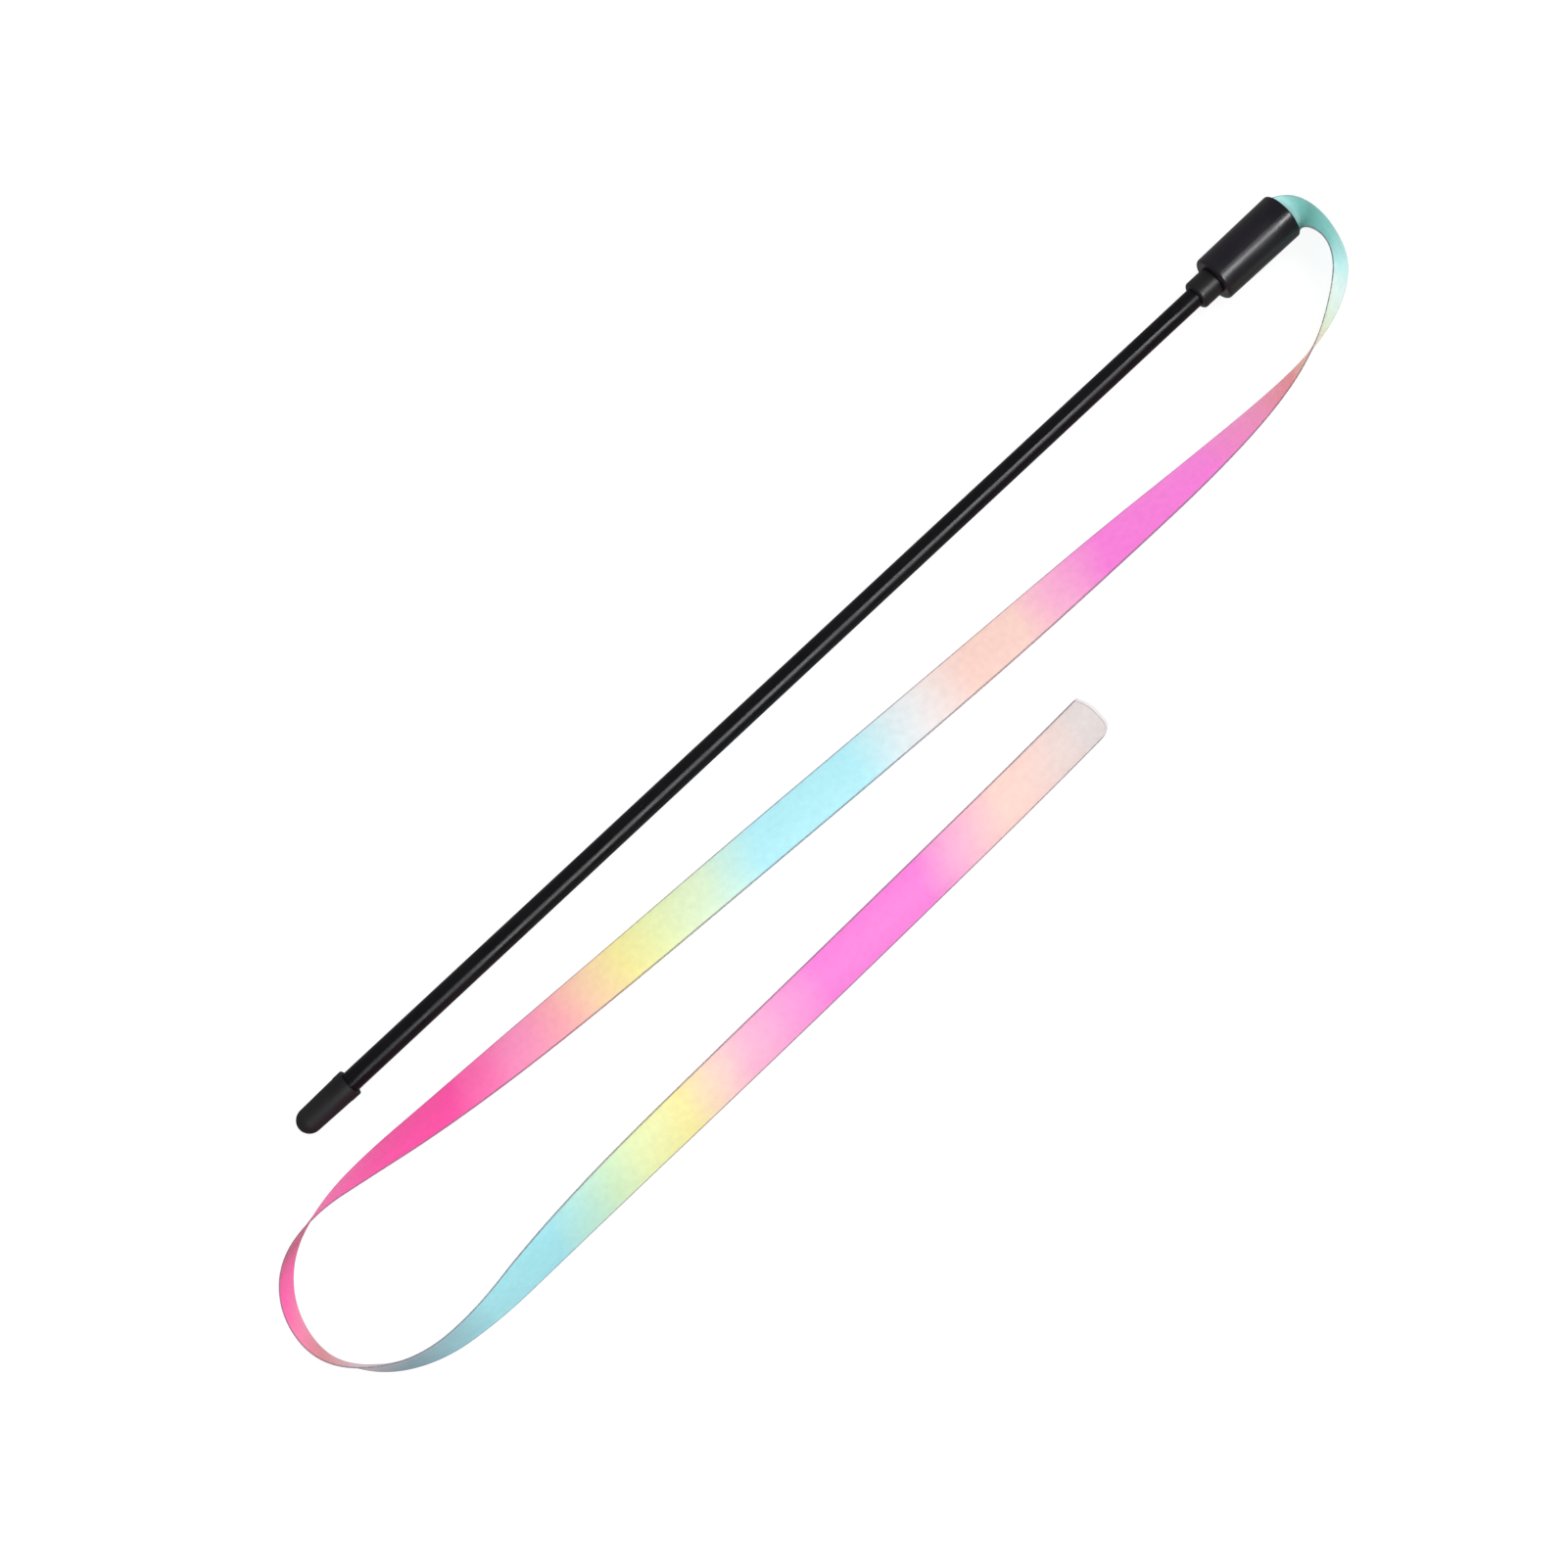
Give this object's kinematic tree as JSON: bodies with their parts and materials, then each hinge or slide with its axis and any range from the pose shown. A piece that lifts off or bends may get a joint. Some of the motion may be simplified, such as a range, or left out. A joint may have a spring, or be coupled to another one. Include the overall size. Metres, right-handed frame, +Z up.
{
  "type": "ribbon wand",
  "caption": "Slim tapered stick with a swivelling sleeve head that holds one long satin ribbon, laid out in a loose loop beside the stick.",
  "frame": {"origin": "middle of the wand, on its axis: halfway between the tail cap's tip and the head's front rim", "axes": "+X along the wand from the tail cap to the head; +Z up, away from the surface it lies on; the ribbon lies on the -Y side"},
  "size_m": [0.4529, 0.0905, 0.0191],
  "materials": {
    "rod_plastic": "satin black, faint drawn lines along the stick",
    "cap_rubber": "soft matte black",
    "collar_plastic": "satin black",
    "head_plastic": "satin black",
    "washer_steel": "plain",
    "screw_steel": "plain",
    "plug_plastic": "matte black",
    "ribbon_satin": "satin weave, pastel rainbow fading from one colour to the next along its length"
  },
  "bodies": {
    "wand": {"rod": "rod_plastic", "tail_cap": "cap_rubber", "neck_collar": "collar_plastic", "swivel_washer": "washer_steel", "swivel_screw": "screw_steel"},
    "head": {"head_shell": "head_plastic", "plug_upper": "plug_plastic", "plug_lower": "plug_plastic", "ribbon": "ribbon_satin"}
  },
  "joints": [
    {"name": "head_swivel", "type": "hinge", "parent": "wand", "child": "head", "pos_m": [0.1735, 0, 0], "axis": [-1, 0, 0], "continuous": true}
  ]
}
